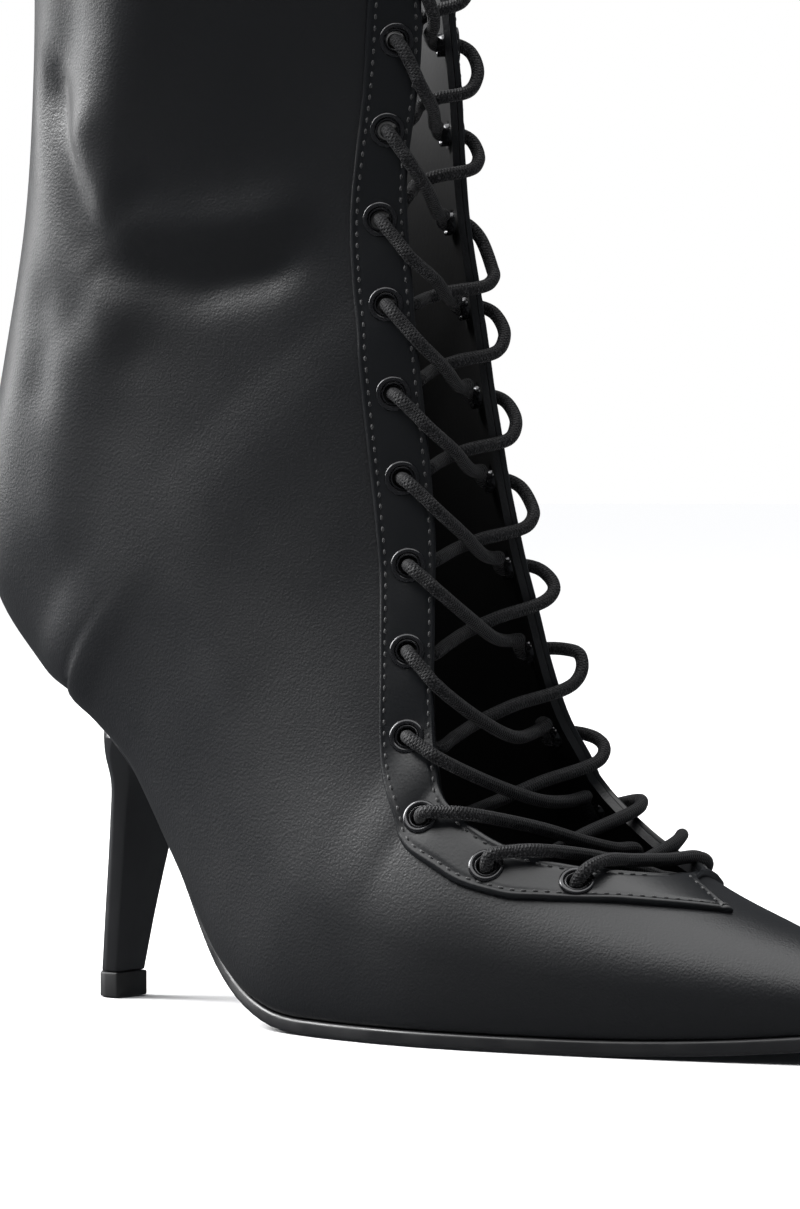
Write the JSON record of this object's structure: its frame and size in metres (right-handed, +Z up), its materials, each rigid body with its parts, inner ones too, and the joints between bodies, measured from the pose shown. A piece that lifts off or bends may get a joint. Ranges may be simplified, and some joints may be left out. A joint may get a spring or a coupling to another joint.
{
  "type": "lace up ankle boot",
  "caption": "Black leather ankle boot for the right foot with a pointed toe, a slim high heel and an open front laced from vamp to collar through eyelets.",
  "frame": {"origin": "middle of the heel tip's flat underside, on the floor", "axes": "+X towards the toe, -Y the outer side of the foot, +Y the inner side, +Z up"},
  "size_m": [0.2471, 0.0876, 0.2342],
  "materials": {
    "upper_leather": "black soft grained leather, semi matte",
    "eyestay_leather": "black smooth leather, semi matte, stitched",
    "sole_rubber": "black, matte underside and polished edge",
    "insole_lining": "black lining leather, matte",
    "heel_cover": "black, satin",
    "heel_tip_rubber": "black, matte",
    "eyelet_metal": "black enamelled metal, glossy",
    "waxed_cord": "dark grey to black waxed round cord"
  },
  "bodies": {
    "root": {"upper": "upper_leather", "eyestay": "eyestay_leather", "outsole": "sole_rubber", "insole": "insole_lining", "heel": "heel_cover", "heel_tip": "heel_tip_rubber", "eyelet_outer_01": "eyelet_metal", "eyelet_outer_02": "eyelet_metal", "eyelet_outer_03": "eyelet_metal", "eyelet_outer_04": "eyelet_metal", "eyelet_outer_05": "eyelet_metal", "eyelet_outer_06": "eyelet_metal", "eyelet_outer_07": "eyelet_metal", "eyelet_outer_08": "eyelet_metal", "eyelet_outer_09": "eyelet_metal", "eyelet_outer_10": "eyelet_metal", "eyelet_outer_11": "eyelet_metal", "eyelet_outer_12": "eyelet_metal", "eyelet_outer_13": "eyelet_metal", "eyelet_inner_01": "eyelet_metal", "eyelet_inner_02": "eyelet_metal", "eyelet_inner_03": "eyelet_metal", "eyelet_inner_04": "eyelet_metal", "eyelet_inner_05": "eyelet_metal", "eyelet_inner_06": "eyelet_metal", "eyelet_inner_07": "eyelet_metal", "eyelet_inner_08": "eyelet_metal", "eyelet_inner_09": "eyelet_metal", "eyelet_inner_10": "eyelet_metal", "eyelet_inner_11": "eyelet_metal", "eyelet_inner_12": "eyelet_metal", "eyelet_inner_13": "eyelet_metal", "lace_bar": "waxed_cord", "lace_crossing_01": "waxed_cord", "lace_crossing_02": "waxed_cord", "lace_crossing_03": "waxed_cord", "lace_crossing_04": "waxed_cord", "lace_crossing_05": "waxed_cord", "lace_crossing_06": "waxed_cord", "lace_crossing_07": "waxed_cord", "lace_crossing_08": "waxed_cord", "lace_crossing_09": "waxed_cord", "lace_crossing_10": "waxed_cord", "lace_crossing_11": "waxed_cord", "lace_crossing_12": "waxed_cord"}
  },
  "joints": []
}
